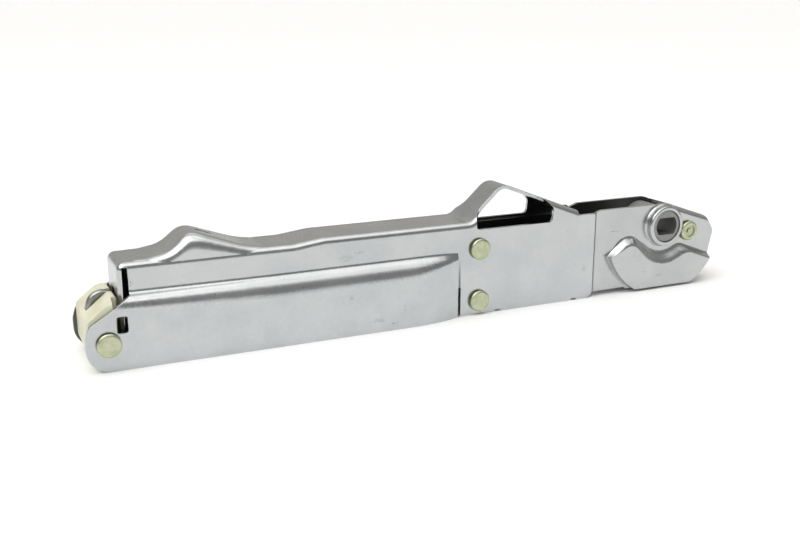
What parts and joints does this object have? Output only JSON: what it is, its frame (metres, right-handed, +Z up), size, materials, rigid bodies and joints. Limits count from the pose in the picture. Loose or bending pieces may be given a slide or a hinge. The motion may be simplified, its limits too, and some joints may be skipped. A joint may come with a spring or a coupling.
{
  "type": "washer lid hinge",
  "caption": "Long spring-loaded hinge arm of bright zinc sheet: a channel holding a coil spring and pull link, riveted to a nose bracket with a crank and a flat-sided drive socket.",
  "frame": {"origin": "on the turning axis of the hub, midway between the two side walls", "axes": "+X along the arm towards the rounded nose, +Y from the side seen in the picture to the far side, +Z up out of the spine"},
  "size_m": [0.2539, 0.0314, 0.0472],
  "materials": {
    "zinc_sheet": "bright zinc plate on stamped sheet, satin",
    "yellow_zinc": "yellow-green passivated zinc",
    "nylon": "cream moulded nylon",
    "spring_wire": "oiled spring wire",
    "sintered_steel": "dull grey pressed powder steel",
    "pin_steel": "turned bright steel",
    "link_steel": "oiled dark strip steel"
  },
  "bodies": {
    "frame": {"main_channel": "zinc_sheet", "front_bracket": "zinc_sheet", "bracket_rivets": "yellow_zinc", "anchor_rivet": "yellow_zinc", "stop_rivet": "yellow_zinc", "stop_sleeve": "nylon", "anchor_block": "nylon"},
    "crank": {"drive_crank": "sintered_steel", "crank_pin": "pin_steel"},
    "link": {"pull_link": "link_steel", "link_bush": "nylon"},
    "spring": {"tension_spring": "spring_wire"}
  },
  "joints": [
    {"name": "hub_turn", "type": "hinge", "parent": "frame", "child": "crank", "pos_m": [0, 0, 0], "axis": [0, -1, 0], "range_deg": [0, 92], "stiffness_Nm_per_rad": 0.5},
    {"name": "link_swing", "type": "hinge", "parent": "crank", "child": "link", "pos_m": [-0.01854, 0, -0.00986], "axis": [0, -1, 0], "range_deg": [-95, 0]},
    {"name": "spring_stretch", "type": "slide", "parent": "frame", "child": "spring", "axis": [0.9919, 0, -0.127], "range_m": [0, 0.03], "deforming": ["tension_spring"]}
  ],
  "couplings": [
    {"joint": "link_swing", "follows": "hub_turn", "ratio": -1.0286},
    {"joint": "spring_stretch", "follows": "hub_turn", "m_per_rad": 0.018301}
  ]
}
